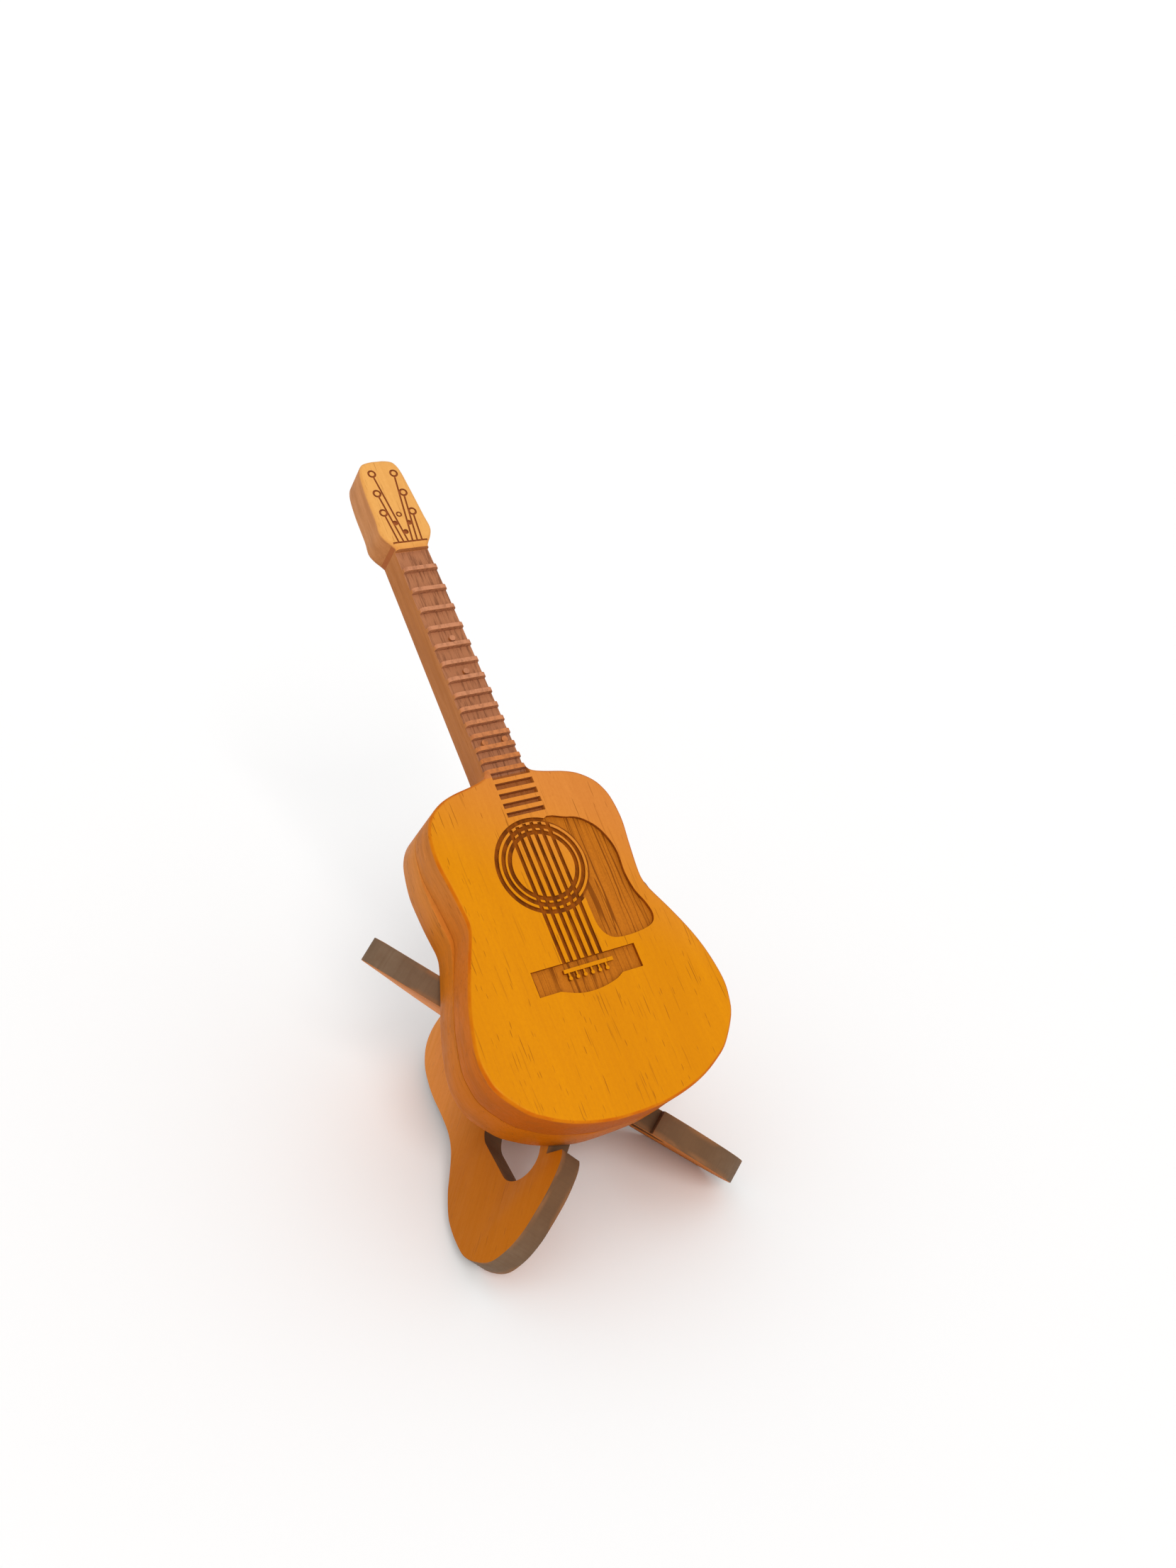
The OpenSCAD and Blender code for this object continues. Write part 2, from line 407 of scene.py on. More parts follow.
frontFinish = {
    "light": colour(218, 137, 0),
    "dark": colour(200, 119, 0),
    # painted sheen: the paler, pinker tones towards the upper right and on the head
    "sheenLight": colour(215, 134, 58),
    "sheenDark": colour(196, 114, 44),
    "headSheenLight": colour(232, 170, 92),
    "headSheenDark": colour(210, 146, 72),
    "pore": colour(132, 68, 2),
    "rim": colour(188, 86, 0),
    # side tones: the pinkish upper tone and the neck and head side tones are painted sheen, the deeper
    # orange lower tone is painted shade
    "sideSheen": colour(206, 124, 48),
    "side": colour(204, 108, 14),
    "sideShade": colour(178, 84, 0),
    "sideDark": colour(136, 74, 22),
    "neckSide": colour(186, 118, 64),
    "headSide": colour(206, 142, 90),
    "groove": colour(150, 76, 8),
    "grooveDark": colour(112, 54, 6),
    "headGroove": colour(162, 90, 46),
    "recess": colour(190, 109, 22),
    "recessStreak": colour(122, 60, 4),
    "fretFloor": colour(176, 116, 80),
    "fretStreak": colour(118, 72, 48),
    "overBodyFloor": colour(168, 92, 22),
    "ridge": colour(196, 132, 96),
    "ridgeLow": colour(196, 118, 62),
    "specular": 0.07,
    "neckSpan": (19.9 * unit, 72.7 * unit, 0.3 * unit),                 # low, high and softness
    "bodyZone": ((-18.6, 18.9, 0.2), (-28, 10.6, 0.2)),                 # the same, across and along
    "headZone": ((-4.2, 4.2, 0.1), (73.3, 93.5, 0.1)),
    "overBodyZone": ((-3.4, 5.2, 0.05), (10.8, 20, 0.2)),
}


def within(recipe, value, low, high, soft):
    # one between low and high, fading out over soft at either end
    return recipe.math("MULTIPLY", recipe.fade(value, low - soft, low),
                       recipe.fade(value, high + soft, high))


def zone(recipe, across, along, spans):
    # one inside a rectangle of the guitar's face, its spans in guitar units
    sideways, lengthways = [[n * unit for n in span] for span in spans]
    return recipe.math("MULTIPLY", within(recipe, across, *sideways), within(recipe, along, *lengthways))


def sideTimber(recipe, place, along, finish):
    # the sides run from a pinkish painted sheen at the top of the body to a deeper orange painted shade
    # underneath; the paler, pinker neck and head sides are painted sheen too
    low = recipe.fade(along, -24 * unit, -47 * unit)
    high = recipe.fade(along, -16 * unit, 6 * unit)
    light = recipe.blend(low, recipe.blend(high, finish["side"], finish["sideSheen"]), finish["sideShade"])
    if "neckSide" in finish:
        light = recipe.blend(recipe.fade(along, 17 * unit, 24 * unit), light, finish["neckSide"])
        light = recipe.blend(recipe.fade(along, 71 * unit, 80 * unit), light, finish["headSide"])
    patch = recipe.fade(recipe.noise(place, (260, 30, 260), 5.0, 0.65), 0.45, 0.66)
    smoky = recipe.blend(0.5, light, finish["sideDark"])
    light = recipe.blend(recipe.math("MULTIPLY", patch, 0.75), light, smoky)
    return woodBase(recipe, place, light, smoky, finish["pore"], 0.65)


def frontTimber():
    recipe = Recipe("frontTimber")
    place, normal = localPlace(recipe, guitarPlace)
    f = frontFinish
    turn = guitarPlace.to_3x3()
    face = facing(recipe, normal, turn @ Vector((0, 0, 1)))
    neckward = recipe.math("ABSOLUTE", facing(recipe, normal, turn @ Vector((0, 1, 0))))
    across, along, depth = recipe.split(place)

    # amber low down; a paler, pinker painted sheen towards the upper right and a paler painted highlight on
    # the head
    upRight = recipe.math("ADD", along, recipe.math("MULTIPLY", across, 0.8))
    sheen = recipe.fade(upRight, -12 * unit, 26 * unit)
    onHead = recipe.fade(along, 70 * unit, 76 * unit)
    light = recipe.blend(onHead, recipe.blend(sheen, f["light"], f["sheenLight"]), f["headSheenLight"])
    dark = recipe.blend(onHead, recipe.blend(sheen, f["dark"], f["sheenDark"]), f["headSheenDark"])
    top, pores, fibre = woodBase(recipe, place, light, dark, f["pore"])
    side = sideTimber(recipe, place, along, f)[0]

    # fret ridges on the neck are worn pale brown, more orange where they meet the body
    onNeck = within(recipe, along, *f["neckSpan"])
    ridgeTone = recipe.blend(recipe.fade(along, 42 * unit, 20 * unit), f["ridge"], f["ridgeLow"])
    ridgeWear = recipe.fade(recipe.noise(place, (900, 420, 900), 5.0, 0.7), 0.42, 0.66)
    ridgeTone = recipe.blend(recipe.math("MULTIPLY", ridgeWear, 0.45), ridgeTone, f["fretStreak"])
    top = recipe.blend(onNeck, top, ridgeTone)

    tone = recipe.blend(recipe.fade(face, 0.1, 0.6), side, top)
    rimBand = recipe.math("MULTIPLY", recipe.fade(face, 0.12, 0.5), recipe.fade(face, 0.97, 0.8))
    atTop = recipe.fade(depth, -1.6 * mm, -0.9 * mm)
    rimWear = recipe.fade(recipe.noise(place, (160, 160, 160), 3.0), 0.3, 0.7, 0.35, 0.95)
    rimWear = recipe.math("MULTIPLY", rimWear, recipe.fade(along, 20.5 * unit, 18 * unit, 0.15, 1.0))
    tone = recipe.blend(recipe.math("MULTIPLY", rimBand, recipe.math("MULTIPLY", atTop, rimWear)),
                        tone, f["rim"])

    # where carving may be: the body's middle, the head's middle and the fingerboard
    inward = recipe.fade(depth, -0.04 * mm, -0.2 * mm)
    bodyZone = zone(recipe, across, along, f["bodyZone"])
    headZone = zone(recipe, across, along, f["headZone"])
    overBody = zone(recipe, across, along, f["overBodyZone"])
    fretZone = recipe.math("MAXIMUM", overBody, onNeck)
    floorward = recipe.math("MULTIPLY", inward, recipe.fade(face, 0.9, 0.985))
    wall = recipe.math("MULTIPLY", inward, recipe.fade(face, 0.35, 0.1))
    lineZone = recipe.math("MAXIMUM", bodyZone, headZone)

    # line grooves and the walls of the larger recesses
    scorch = recipe.noise(place, (700, 260, 700), 4.0)
    grooveTone = recipe.blend(recipe.fade(scorch, 0.35, 0.65), f["grooveDark"], f["groove"])
    grooveTone = recipe.blend(headZone, grooveTone, f["headGroove"])
    shallow = recipe.fade(depth, -0.66 * mm, -0.6 * mm)
    lineFloor = recipe.math("MULTIPLY", lineZone, recipe.math("MULTIPLY", floorward, shallow))
    lineFloor = recipe.math("MULTIPLY", lineFloor, recipe.fade(along, -19.95 * unit, -19.75 * unit))
    tone = recipe.blend(lineFloor, tone, grooveTone)
    tone = recipe.blend(recipe.math("MULTIPLY", lineZone, recipe.math("MULTIPLY", wall, 0.9)),
                        tone, grooveTone)

    # floor of the pickguard and the bridge, left with tool streaks along the grain
    wavy = recipe.wander(place, (160, 60, 160), 1.2 * mm)
    streaks = recipe.fade(recipe.noise(wavy, (1200, 25, 1200), 3.0, 0.6), 0.42, 0.64)
    bold = recipe.lines(wavy, (800, 10, 800), 0.045, 1.0)
    bold = recipe.math("MULTIPLY", bold, recipe.fade(recipe.noise(place, (300, 40, 300)), 0.3, 0.5))
    grit = recipe.fade(recipe.noise(place, (2600, 2600, 2600), 2.0), 0.4, 0.7)
    recessTone = recipe.blend(recipe.math("MULTIPLY", streaks, 0.25), f["recess"], f["recessStreak"])
    recessTone = recipe.blend(recipe.math("MULTIPLY", grit, 0.18), recessTone, f["recessStreak"])
    recessTone = recipe.blend(recipe.math("MULTIPLY", bold, 0.85), recessTone, f["recessStreak"])
    deepest = recipe.math("MULTIPLY", bodyZone, recipe.fade(depth, -0.78 * mm, -0.84 * mm))
    tone = recipe.blend(recipe.math("MULTIPLY", floorward, deepest), tone, recessTone)

    # fret pockets: browner, with short dark streaks, on their floors and end walls
    fretStreaks = recipe.fade(recipe.noise(place, (1600, 130, 1600), 4.0, 0.7), 0.46, 0.66)
    fretTone = recipe.blend(recipe.math("MULTIPLY", fretStreaks, 0.75), f["fretFloor"], f["fretStreak"])
    fretTone = recipe.blend(recipe.math("MULTIPLY", overBody, 0.65), fretTone, f["overBodyFloor"])
    inPocket = recipe.math("MULTIPLY", floorward, recipe.fade(depth, -0.9 * mm, -1.1 * mm))
    endWall = recipe.math("MULTIPLY", wall, recipe.fade(neckward, 0.5, 0.8))
    endWall = recipe.math("MULTIPLY", endWall, recipe.fade(depth, -1.7 * mm, -1.55 * mm))
    inPocket = recipe.math("MAXIMUM", inPocket, endWall)
    tone = recipe.blend(recipe.math("MULTIPLY", fretZone, inPocket), tone, fretTone)

    rough = recipe.fade(fibre, 0.0, 1.0, 0.36, 0.5)
    rough = recipe.math("ADD", rough, recipe.math("MULTIPLY", inward, 0.22))
    relief = recipe.math("MULTIPLY", pores, -1.0)
    relief = recipe.math("ADD", relief, recipe.math("MULTIPLY", fibre, 0.2))
    cut = recipe.math("MULTIPLY", floorward, recipe.math("ADD", bold, streaks))
    relief = recipe.math("ADD", relief, recipe.math("MULTIPLY", cut, -0.5))
    return recipe.woodFinish(tone, rough, f["specular"], relief, 0.3, 0.1 * mm)


front = {
    "rimRound": 1.0 * mm,
    "backRound": 0.25 * mm,
    "lineDepth": 0.55 * mm,
    "recessDepth": 0.9 * mm,
    "fretDepth": 1.5 * mm,
    "over": 2 * mm,           # how far a cutter stands above the face
    "nut": 73.5,              # the rest of the sizes are in guitar units
    "scaleLength": 94.5,
    "pocketCount": 19,
    "firstOverBody": 14,      # from this pocket on they are closed ones in the body
    "topPocketEnd": 72.9,
    "ridgeAbove": 0.4,        # how far each ridge reaches up and down from its fret line
    "ridgeBelow": 0.5,
    "neckPocket": (-7, 7),
    "bodyPocket": (-3.3, 5.1),
    "dotRadius": 0.65,
    "stringCount": 6,
    "stringGap": 1.63,
    "stringShift": 0.15,
    "stringTop": 9.2,
    "stringStep": 0.35,       # outer strings start this much lower, each
    "stringEnd": -19.6,
    "stringWidth": 0.8,
    "ringRadii": (6.92, 8.2, 9.6),
    "ringWidth": 0.88,
    "guardInner": 9.7,
    "bridgeTop": [(-11.3, -24.5), (-11.3, -19.5), (11.7, -19.5), (11.7, -24.3)],
    "saddle": ((-4.7, 6.2), (-21.5, -20.75)),
    "pegShift": 0.35,
    "pegAlong": -22.6,
    "pegRadius": 0.38,
    "tailHalf": 0.16,
    "tailEnd": -21.2,
    "tunerRing": (0.74, 0.44),                   # radius and width
    "tunerGap": 0.85,
    "headRing": (-0.15, 81.2, 0.5, 0.34),        # x, y, radius and width
    "headDiscs": [(-1.7, 79.2), (1.4, 79), (-0.15, 76.9)],
    "headDiscRadius": 0.6,
    "headLineEnd": 74.6,
    "headLine": 0.4,
    "nutLine": [(-3.9, 74.5), (3.9, 74.5)],
    "body": [(4.2, 19.6), (7.95, 19.1), (12.3, 18.2), (15.3, 17.1), (18, 15.2), (19.6, 12.9),
             (20.5, 10), (20.8, 5.4), (20.2, 0.4), (19.6, -5), (19.5, -7.6), (20.1, -9.9),
             (22.2, -14.7), (24.6, -20.7), (26.1, -25.6), (27.2, -31), (27.1, -34.6), (26, -38.4),
             (22.3, -43.1), (18.9, -45.5), (15.1, -47.4), (10.7, -48.8), (5.5, -49.75)],
    "head": [(0, 94.95), (1.6, 94.9), (3.4, 94.3), (4.4, 92.2), (4.9, 88), (5.3, 83.8),
             (5.6, 80.4), (5.9, 77.6), (5.3, 75.8), (4.3, 74.3), (3.75, 73.4)],
    "heel": [(3.95, 24), (4.05, 21.8), (4.5, 20.5), (5.6, 19.75)],
    "guard": [(3.6, 9.0), (8.7, 8.5), (11.6, 7.6), (14.3, 5.2), (15.9, 2), (16.5, -1.3),
              (16.2, -5.4), (16.7, -9.3), (17.9, -12.3), (18.4, -15), (17.3, -16.8), (13.8, -17.6),
              (9.2, -17.6), (7, -16.5), (5.9, -14.2), (5.7, -10.5), (5.4, -7), (2, 0)],
    "belly": [(7, -24.3), (4.9, -25.3), (0.9, -26), (-3, -25.8), (-6.8, -24.5)],
    "tuners": [(-2.5, 91.6), (-3.1, 86.7), (-3.4, 81.9), (3.1, 81.6), (2.8, 86.4), (2.4, 91.3)],
    "nutEnds": (-0.5, -1.55, -2.65, 2.65, 1.55, 0.5),
    "rightSwell": (1, -22, 18, 0.9),
    "headSwell": (-1, 90, 11, 0.6),
    "neckSwell": (1, 24, 9, 1.0),
    "fretDots": [(0.8, 51.4), (0.9, 43.6), (-1.4, 27.5), (3.1, 27.5)],
}


def frontOutline():
    head = smoothOpen(front["head"], 4)
    lower = smoothOpen(front["heel"] + front["body"][1:] + [(0, -50)], 5)
    right = head + lower
    even = swollen(right + mirrored(right[1:-1]), *front["rightSwell"])
    return swollen(swollen(even, *front["headSwell"]), *front["neckSwell"])


def bodyOutline():
    even = smoothClosed([Vector(p) for p in front["body"]] + mirrored(front["body"]), 5)
    return swollen(swollen(even, *front["rightSwell"]), *tray["waistSwell"])


def cutTo(depth):
    return (-depth, front["over"])


def stringOffsets():
    # the strings' places either side of the middle, in string gaps
    return [i - (front["stringCount"] - 1) / 2 for i in range(front["stringCount"])]


def carveFretboard(piece):
    pockets = []
    for n in range(front["pocketCount"]):
        low = fret(n + 1) + front["ridgeAbove"]
        high = front["topPocketEnd"] if n == 0 else fret(n) - front["ridgeBelow"]
        side = front["bodyPocket"] if n >= front["firstOverBody"] else front["neckPocket"]
        pockets.append(box(side, (low, high), cutTo(front["fretDepth"])))
    combine(piece, pockets)
    sunk = -front["fretDepth"]
    dots = [disc(x, y, front["dotRadius"], (sunk - 0.3 * mm, sunk + 0.75 * mm), 20)
            for x, y in front["fretDots"]]
    combine(piece, dots, "UNION")


def carveRosette(piece):
    grooves = [ring(0, 0, r, front["ringWidth"], cutTo(front["lineDepth"]), 96)
               for r in front["ringRadii"]]
    combine(piece, grooves)
    strings = []
    cut = cutTo(front["lineDepth"] + 0.01 * mm)
    for offMiddle in stringOffsets():
        x = offMiddle * front["stringGap"] + front["stringShift"]
        top = front["stringTop"] - abs(offMiddle) * front["stringStep"]
        strings.append(bar((x, top), (x, front["stringEnd"]), front["stringWidth"], cut))
    combine(piece, strings)


def carvePickguard(piece):
    cutter = slab("guardCutter", smoothClosed(front["guard"], 4), *cutTo(front["recessDepth"]))
    combine(cutter, [disc(0, 0, front["guardInner"], (-5 * mm, 5 * mm), 96)])
    combine(piece, [cutter])


def carveBridge(piece):
    outline = [Vector(p) for p in front["bridgeTop"]] + smoothOpen(front["belly"], 4)
    combine(piece, [slab("bridgeCutter", outline, *cutTo(front["recessDepth"]))])
    sunk = -front["recessDepth"] - 0.4 * mm
    pegAlong = front["pegAlong"]
    raised = [box(*front["saddle"], (sunk, -0.05 * mm))]
    for offMiddle in stringOffsets():
        x = offMiddle * front["stringGap"] + front["pegShift"]
        tail = (x - front["tailHalf"], x + front["tailHalf"])
        raised.append(disc(x, pegAlong, front["pegRadius"], (sunk, -0.15 * mm), 16))
        raised.append(box(tail, (pegAlong, front["tailEnd"]), (sunk, -0.2 * mm)))
    for tool in raised:
        combine(piece, [tool], "UNION")


def carveHead(piece):
    depth = front["lineDepth"] * 0.8
    rings = [ring(x, y, *front["tunerRing"], cutTo(depth), 24) for x, y in front["tuners"]]
    rings.append(ring(*front["headRing"], cutTo(depth * 0.75), 20))
    rings += [disc(x, y, front["headDiscRadius"], cutTo(front["lineDepth"]), 20)
              for x, y in front["headDiscs"]]
    combine(piece, rings)
    lines = []
    for tuner, x in zip(front["tuners"], front["nutEnds"]):
        end = Vector((x, front["headLineEnd"]))
        start = Vector(tuner) + (end - Vector(tuner)).normalized() * front["tunerGap"]
        lines.append(bar(start, end, front["headLine"], cutTo(depth * 0.9)))
    lines.append(bar(*front["nutLine"], front["headLine"], cutTo(depth * 0.85)))
    combine(piece, lines)


def buildFront():
    piece = slab("carvedFront", frontOutline(), -frontThickness, 0)
    roundRim(piece, 0, front["rimRound"], 5)
    roundRim(piece, -frontThickness, front["backRound"], 2)
    carvePickguard(piece)
    carveBridge(piece)
    carveRosette(piece)
    carveFretboard(piece)
    carveHead(piece)
    bore = disc(0, guitar["pivotAlong"], guitar["pinRadius"] / unit,
                (-frontThickness - 1 * mm, -frontThickness + 6 * mm), 48)
    combine(piece, [bore])
    settle(piece, guitarPlace)
    piece.data.materials.clear()
    piece.data.materials.append(frontTimber())
    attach(piece, "guitar")
    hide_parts("guitar_front")
    print("front of the guitar made:", len(piece.data.polygons), "faces")
    return piece


tray = {
    "waistSwell": (-1, -3, 14, 0.95),
    "pocketDepth": 7 * mm,
    "pocketWall": 5.3,
    "edgeRound": 0.9 * mm,
    "seamRound": 0.25 * mm,
    "pocketTop": 2,            # the wood above this stays solid round the pin
    "pocketRound": 1.2 * mm,
    "headRoom": 1.4 * mm,
    "grainShift": (0.4, 0, 0.2),
    # the pinkish upper side tone is painted sheen and the deeper orange lower one is painted shade, as on
    # the front
    "sideSheen": colour(208, 128, 52),
    "side": colour(200, 110, 14),
    "sideShade": colour(182, 92, 0),
    "sideDark": colour(144, 80, 14),
    "pore": colour(100, 50, 8),
    "specular": 0.07,
}


def trayTimber():
    recipe = Recipe("trayTimber")
    place, _ = localPlace(recipe, guitarPlace)
    along = recipe.split(place)[1]
    shifted = recipe.add("ShaderNodeVectorMath", {0: place, 1: tray["grainShift"]}, operation="ADD")
    tone, pores, fibre = sideTimber(recipe, shifted.outputs[0], along, tray)
    rough = recipe.fade(fibre, 0.0, 1.0, 0.4, 0.55)
    relief = recipe.math("ADD", recipe.math("MULTIPLY", pores, -1.0), recipe.math("MULTIPLY", fibre, 0.25))
    return recipe.woodFinish(tone, rough, tray["specular"], relief, 0.3, 0.1 * mm)


def inwards(outline, wall):
    # the outline moved in by wall, along each point's own normal
    moved = []
    count = len(outline)
    for i in range(count):
        tangent = outline[(i + 1) % count] - outline[i - 1]
        normal = Vector((tangent.y, -tangent.x)).normalized()
        moved.append(outline[i] - normal * wall if normal.dot(outline[i] - Vector((0, -20))) > 0
                     else outline[i] + normal * wall)
    return moved


def buildTray():
    top = -frontThickness - guitar["layerGap"]
    bottom = -guitar["thickness"]
    piece = slab("backTray", bodyOutline(), bottom, top)
    roundRim(piece, bottom, tray["edgeRound"], 4)
    roundRim(piece, top, tray["seamRound"], 2)
    pocket = slab("pocketCutter", inwards(bodyOutline(), tray["pocketWall"]),
                  -frontThickness - tray["pocketDepth"], top + 2 * mm)
    combine(pocket, [box((-40, 40), (tray["pocketTop"], 40), (-30 * mm, 0))])
    roundSharp(pocket, tray["pocketRound"], 4, 50)
    combine(piece, [pocket])
    pinHole = guitar["pinRadius"] / unit
    combine(piece, [disc(0, guitar["pivotAlong"], pinHole + 0.05, (bottom - 1 * mm, 0), 48)])
    headRoom = (bottom - 1 * mm, bottom + tray["headRoom"])
    combine(piece, [disc(0, guitar["pivotAlong"], 2 * pinHole + 0.1, headRoom, 48)])
    settle(piece, guitarPlace)
    piece.data.materials.clear()
    piece.data.materials.append(trayTimber())
    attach(piece, "tray")
    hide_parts("guitar_back")
    print("back tray made:", len(piece.data.polygons), "faces")
    return piece


pin = {
    "headHeight": 1.2 * mm,
    "slotHalf": 0.22,
    "steel": colour(196, 196, 200),
    "steelDark": colour(150, 150, 156),
}


def pinSteel():
    recipe = Recipe("pinSteel")
    place, _ = localPlace(recipe, guitarPlace)
    scratch = recipe.noise(place, (2500, 500, 2500), 3.0)
    tone = recipe.blend(recipe.fade(scratch, 0.3, 0.7), pin["steel"], pin["steelDark"])
    recipe.connect(tone, "Base Color")
    recipe.shader.inputs["Metallic"].default_value = 1.0
    recipe.connect(recipe.fade(scratch, 0.3, 0.7, 0.28, 0.45), "Roughness")
    return recipe.material


def buildPin():
    bottom = -guitar["thickness"] + 0.1 * mm
    radius = guitar["pinRadius"] / unit
    piece = disc(0, guitar["pivotAlong"], radius, (bottom + 0.5 * mm, -frontThickness + 5.8 * mm), 48)
    head = disc(0, guitar["pivotAlong"], radius * 2, (bottom, bottom + pin["headHeight"]), 48)
    roundRim(head, bottom, 0.3 * mm, 3)
    combine(piece, [head], "UNION")
    slotSpan = (guitar["pivotAlong"] - pin["slotHalf"], guitar["pivotAlong"] + pin["slotHalf"])
    combine(piece, [box((-3, 3), slotSpan, (bottom - 1 * mm, bottom + 0.5 * mm))])
    settle(piece, guitarPlace)
    piece.data.materials.clear()
    piece.data.materials.append(pinSteel())
    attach(piece, "guitar")
    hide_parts("pivot_pin")
    print("pivot pin made:", len(piece.data.polygons), "faces")
    return piece


stand = {
    "tilt": 33.05,             # crossing line, measured from the guitar's front normal
    "halfAngle": 46.67,        # each board from the middle plane
    "crossAlong": -49.69,      # where the crossing line meets the guitar's front plane
    "thickness": 5.65 * mm,
    "slotPlay": 0.3 * mm,
    "restGap": 0.3 * mm,
    "slotMiddle": -48.3,
    "slotSpread": 1.06,        # a slot is wider than a board, because they don't cross square
    "slotReach": 40,
    "armTips": (-42.3, -41.8),
    "tipRound": 0.5,
    "armFoot": 15.9,
    "edgeRound": 0.16 * mm,
    "grainTurn": 62,
    "leg": [(13.7, -11.3), (14.5, -10.5), (16.4, -9.5), (20.7, -8.4), (26, -8.0), (30.2, -8.1),
            (34.4, -9.3), (37.9, -12.1), (39.6, -18.0), (38.8, -23), (36.2, -29.6), (32.4, -34.8),
            (29.5, -37.7), (25.6, -41.8), (22.9, -46.2), (20.5, -52.4), (18.4, -58.8),
            (16.3, -63.9), (13.6, -69), (9.6, -73.4), (4.8, -75.2), (-1, -74.2), (-8, -70.3),
            (-20, -62), (-34.5, -50.4), (-40.4, -46.0), (-42.6, -44.0), (-42.9, -42.7)],
    "holeCircles": [(19, -21, 4.9), (14.6, -31, 6.2), (9.4, -26, 3.6)],
    # the near tones are darkened by painted shadow of the guitar's body; the far tones are paler
    "light": colour(184, 104, 10),
    "dark": colour(171, 92, 4),
    "farLight": colour(226, 142, 60),
    "farDark": colour(204, 122, 46),
    "pore": colour(104, 54, 10),
    "char": colour(108, 78, 54),
    "charGrey": colour(119, 97, 77),
    "charDark": colour(94, 68, 48),
    "worn": colour(160, 104, 62),
    "specular": 0.07,
}


def boardPlace(side):
    # side is -1 for the board whose foot is on the left; board X runs out from the crossing, Y along it
    turn = math.radians(-90 + side * stand["halfAngle"])
    return (guitarPlace @ Matrix.Translation((0, stand["crossAlong"] * unit, 0))
            @ Matrix.Rotation(math.radians(stand["tilt"]), 4, "X") @ Matrix.Rotation(turn, 4, "Z")
            @ Matrix.Rotation(math.radians(90), 4, "X"))


def armFront(s):
    # front edge of an arm, just behind the guitar's back
    half = math.radians(stand["halfAngle"])
    tilt = math.radians(stand["tilt"])
    cornerOut = stand["thickness"] / 2 * math.sin(half) * math.sin(tilt)
    behind = guitar["thickness"] + stand["restGap"] + cornerOut
    return (-behind / unit + s * math.cos(half) * math.sin(tilt)) / math.cos(tilt)


def boardOutline():
    tip, shoulder = stand["armTips"]
    foot = stand["armFoot"]
    arm = [(tip, armFront(tip) - stand["tipRound"]), (shoulder, armFront(shoulder)), (foot, armFront(foot))]
    return [Vector(p) for p in arm] + smoothOpen(stand["leg"], 5)


def boardTimber(side):
    recipe = Recipe("leftBoardTimber" if side < 0 else "rightBoardTimber")
    place, normal = localPlace(recipe, boardPlace(side))
    across = boardPlace(side).to_3x3() @ Vector((0, 0, 1))
    swapped = recipe.add("ShaderNodeMapping", {"Vector": place})
    swapped.inputs["Rotation"].default_value = (0, 0, math.radians(stand["grainTurn"]))
    along = recipe.split(place)[1]
    # darker near the crossing under the guitar, as painted shadow of its body, paler towards the far end
    far = recipe.fade(along, -34 * unit, -60 * unit)
    light = recipe.blend(far, stand["light"], stand["farLight"])
    dark = recipe.blend(far, stand["dark"], stand["farDark"])
    tone, pores, fibre = woodBase(recipe, swapped.outputs[0], light, dark, stand["pore"], 0.35)

    # cut edges are browned evenly, greyer at the ends, with strips worn paler along their corners
    out, _, through = recipe.split(place)
    faceOn = recipe.math("ABSOLUTE", facing(recipe, normal, across))
    edge = recipe.fade(faceOn, 0.93, 0.7)
    cloud = recipe.fade(recipe.noise(place, (140, 140, 140), 4.0), 0.35, 0.65)
    beam = recipe.fade(recipe.noise(place, (1700, 1700, 90), 2.0), 0.4, 0.8)
    atEnds = recipe.fade(recipe.math("ABSOLUTE", out), 22 * unit, 40 * unit)
    char = recipe.blend(atEnds, stand["char"], stand["charGrey"])
    soot = recipe.blend(recipe.math("MULTIPLY", cloud, 0.4), char, stand["charDark"])
    soot = recipe.blend(recipe.math("MULTIPLY", beam, 0.25), soot, stand["charDark"])
    offMiddle = recipe.math("ABSOLUTE", through)
    corner = recipe.fade(offMiddle, stand["thickness"] / 2 - 1.5 * mm, stand["thickness"] / 2 - 0.3 * mm)
    strips = recipe.fade(recipe.noise(place, (90, 90, 260), 4.0), 0.48, 0.66)
    soot = recipe.blend(recipe.math("MULTIPLY", recipe.math("MULTIPLY", corner, strips), 0.5),
                        soot, stand["worn"])
    tone = recipe.blend(edge, tone, soot)
    rough = recipe.math("ADD", recipe.fade(fibre, 0.0, 1.0, 0.45, 0.6), recipe.math("MULTIPLY", edge, 0.15))
    relief = recipe.math("ADD", recipe.math("MULTIPLY", pores, -0.8), recipe.math("MULTIPLY", fibre, 0.3))
    relief = recipe.math("ADD", relief, recipe.math("MULTIPLY", recipe.math("MULTIPLY", beam, edge), 0.5))
    return recipe.woodFinish(tone, rough, stand["specular"], relief, 0.25, 0.08 * mm)


def holeOutline():
    # the outline of a band pulled tight round the three hole circles
    outline = []
    for i in range(72):
        angle = math.radians(i * 5)
        way = Vector((math.cos(angle), math.sin(angle)))
        best = max(stand["holeCircles"], key=lambda c: Vector(c[:2]).dot(way) + c[2])
        outline.append(Vector(best[:2]) + way * best[2])
    return outline


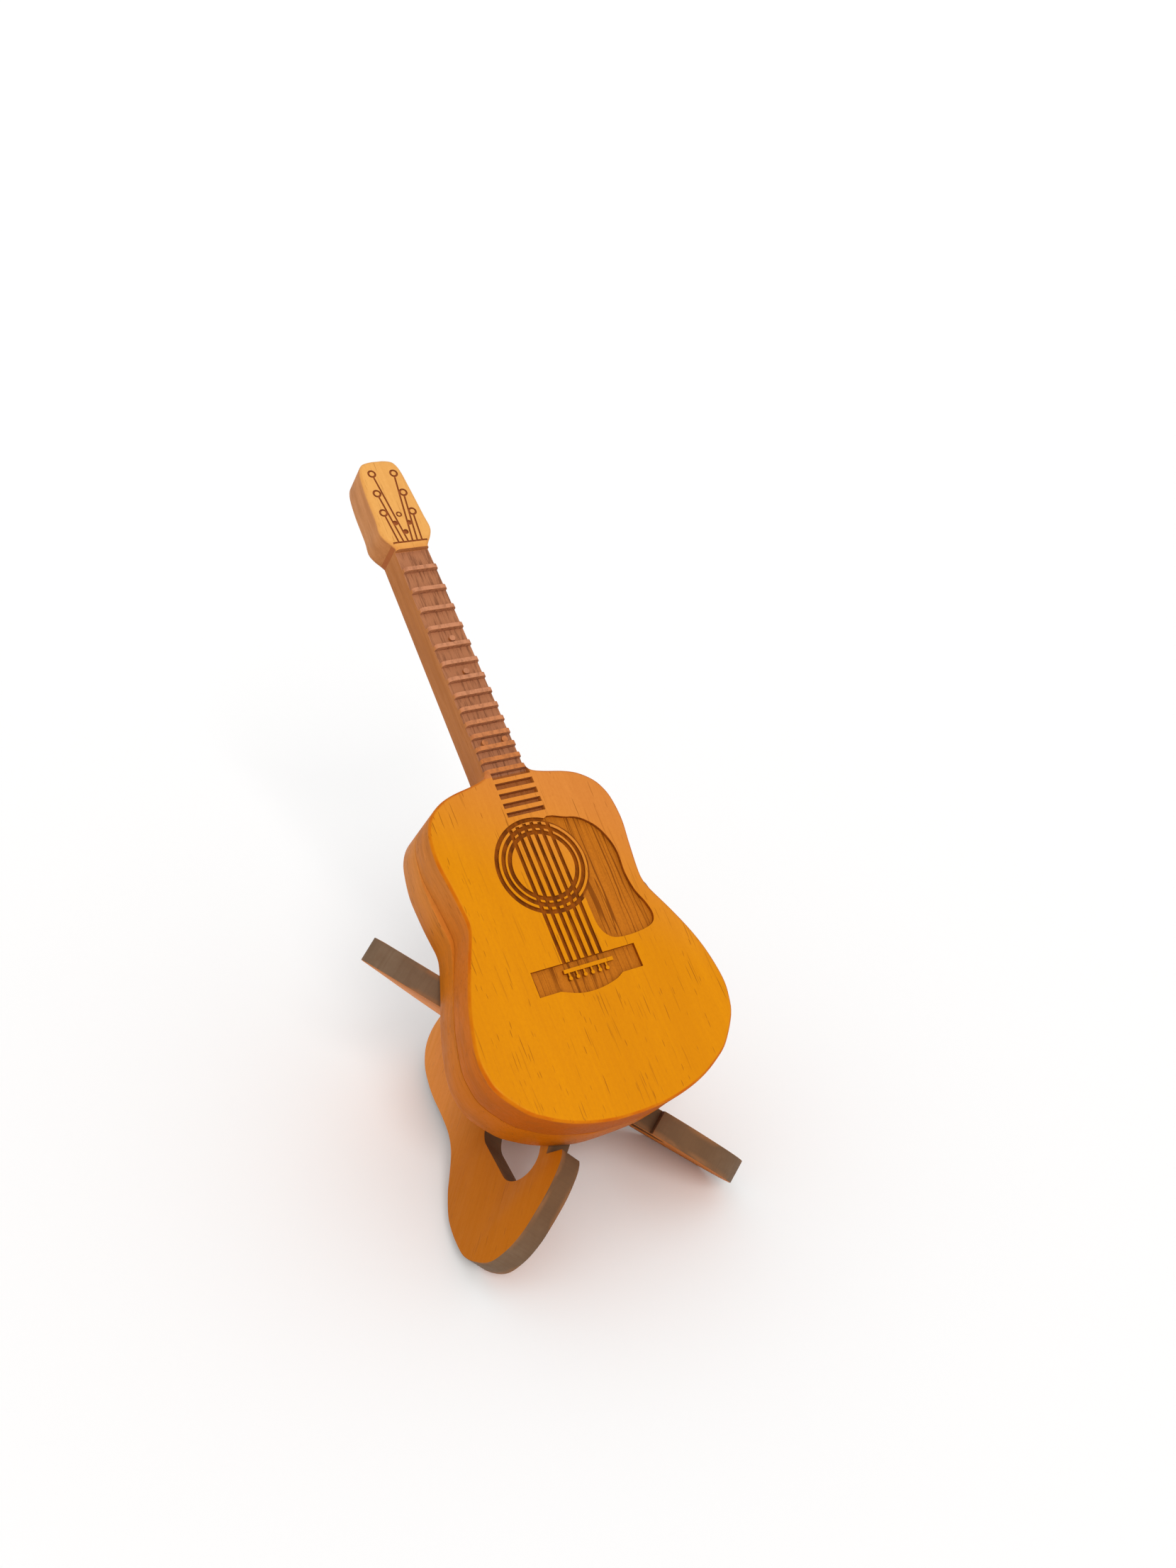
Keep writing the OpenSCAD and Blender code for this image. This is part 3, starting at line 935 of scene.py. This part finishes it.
def buildBoard(side):
    half = stand["thickness"] / 2
    name = "leftBoard" if side < 0 else "rightBoard"
    piece = slab(name, boardOutline(), -half, half)
    combine(piece, [slab("holeCutter", holeOutline(), -2 * half, 2 * half)])
    width = (stand["thickness"] * stand["slotSpread"] + stand["slotPlay"]) / unit / 2
    middle = stand["slotMiddle"]
    play = stand["slotPlay"] / unit / 2
    far = stand["slotReach"]
    reach = (middle - play, middle + far) if side < 0 else (middle - far, middle + play)
    combine(piece, [box((-width, width), reach, (-2 * half, 2 * half))])
    roundSharp(piece, stand["edgeRound"], 2, 40)
    settle(piece, boardPlace(side))
    onlySelect(piece)
    bpy.ops.object.mode_set(mode="EDIT")
    bpy.ops.mesh.select_all(action="SELECT")
    bpy.ops.mesh.bisect(plane_co=(0, 0, 0), plane_no=(0, 0, 1), clear_inner=True, use_fill=True)
    leaveEdit()
    piece.data.materials.clear()
    piece.data.materials.append(boardTimber(side))
    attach(piece, "stand")
    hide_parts("stand_left_board" if side < 0 else "stand_right_board")
    print(name, "made:", len(piece.data.polygons), "faces")
    return piece


buildFront()
buildTray()
buildPin()
for side in (-1, 1):
    buildBoard(side)

studio = {
    "floorRadius": 3.0,
    "floorRim": [(0.5, 0.04), (0.5, 0.14), (0.5, 0.26), (0.5, 0.38)],   # steps out and up
    "floorTone": (0.96, 0.96, 0.96),
    "floorRough": 0.9,
    "skyTone": (1.0, 1.0, 1.0),
    "skyStrength": 0.8,
    "sunFrom": (-0.25, -0.75, 0.8),
    "sunStrength": 1.1,
    "sunSpread": 25,
    "sunTone": (1.0, 0.99, 0.975),
    "target": (0.04158, 0.02188, 0.06),
    "distance": 0.39055,
    "azimuth": 35.51,          # degrees from +Y towards +X
    "elevation": 29.13,
    "roll": -6.43,
    "lens": 34.91,
    "sensor": 36,
    "clip": (0.01, 20),
}


def buildFloor():
    # a wide round floor whose rim curves up like a studio backdrop
    clearSelection()
    bpy.ops.mesh.primitive_circle_add(vertices=96, radius=studio["floorRadius"], fill_type="NGON")
    floor = bpy.context.object
    floor.name = "paleFloor"
    radius = studio["floorRadius"]
    editAll(floor, "EDGE")
    bpy.ops.mesh.region_to_loop()
    for out, up in studio["floorRim"]:
        bpy.ops.mesh.extrude_edges_move(TRANSFORM_OT_translate={"value": (0, 0, up)})
        growth = (radius + out) / radius
        bpy.ops.transform.resize(value=(growth, growth, 1), center_override=(0, 0, 0))
        radius += out
    bpy.ops.mesh.select_all(action="SELECT")
    bpy.ops.mesh.normals_make_consistent(inside=False)
    leaveEdit()
    bpy.ops.object.shade_smooth()
    recipe = Recipe("paleFloor")
    recipe.shader.inputs["Base Color"].default_value = (*studio["floorTone"], 1.0)
    recipe.shader.inputs["Roughness"].default_value = studio["floorRough"]
    floor.data.materials.append(recipe.material)


def buildSun():
    light = bpy.data.lights.new("softSun", "SUN")
    light.energy = studio["sunStrength"]
    light.angle = math.radians(studio["sunSpread"])
    light.color = studio["sunTone"]
    lamp = bpy.data.objects.new("softSun", light)
    bpy.context.scene.collection.objects.link(lamp)
    lamp.rotation_euler = (-Vector(studio["sunFrom"])).to_track_quat("-Z", "Y").to_euler()


def buildWorld():
    world = bpy.data.worlds.new("paleRoom")
    bpy.context.scene.world = world
    world.use_nodes = True
    sky = world.node_tree.nodes["Background"]
    sky.inputs["Color"].default_value = (*studio["skyTone"], 1.0)
    sky.inputs["Strength"].default_value = studio["skyStrength"]


def buildCamera():
    camera = bpy.data.cameras.new("camera")
    camera.lens = studio["lens"]
    camera.sensor_width = studio["sensor"]
    eye = bpy.data.objects.new("camera", camera)
    bpy.context.scene.collection.objects.link(eye)
    azimuth = math.radians(studio["azimuth"])
    elevation = math.radians(studio["elevation"])
    ahead = Vector((math.sin(azimuth) * math.cos(elevation), math.cos(azimuth) * math.cos(elevation),
                    -math.sin(elevation)))
    eye.location = Vector(studio["target"]) - ahead * studio["distance"]
    level = ahead.to_track_quat("-Z", "Y").to_matrix().to_4x4()
    turned = level @ Matrix.Rotation(math.radians(-studio["roll"]), 4, "Z")
    eye.rotation_euler = turned.to_euler()
    camera.clip_start, camera.clip_end = studio["clip"]
    bpy.context.scene.camera = eye


buildFloor()
buildSun()
buildWorld()
buildCamera()
bpy.context.scene.view_settings.view_transform = "Standard"
print("room, lights and camera made")
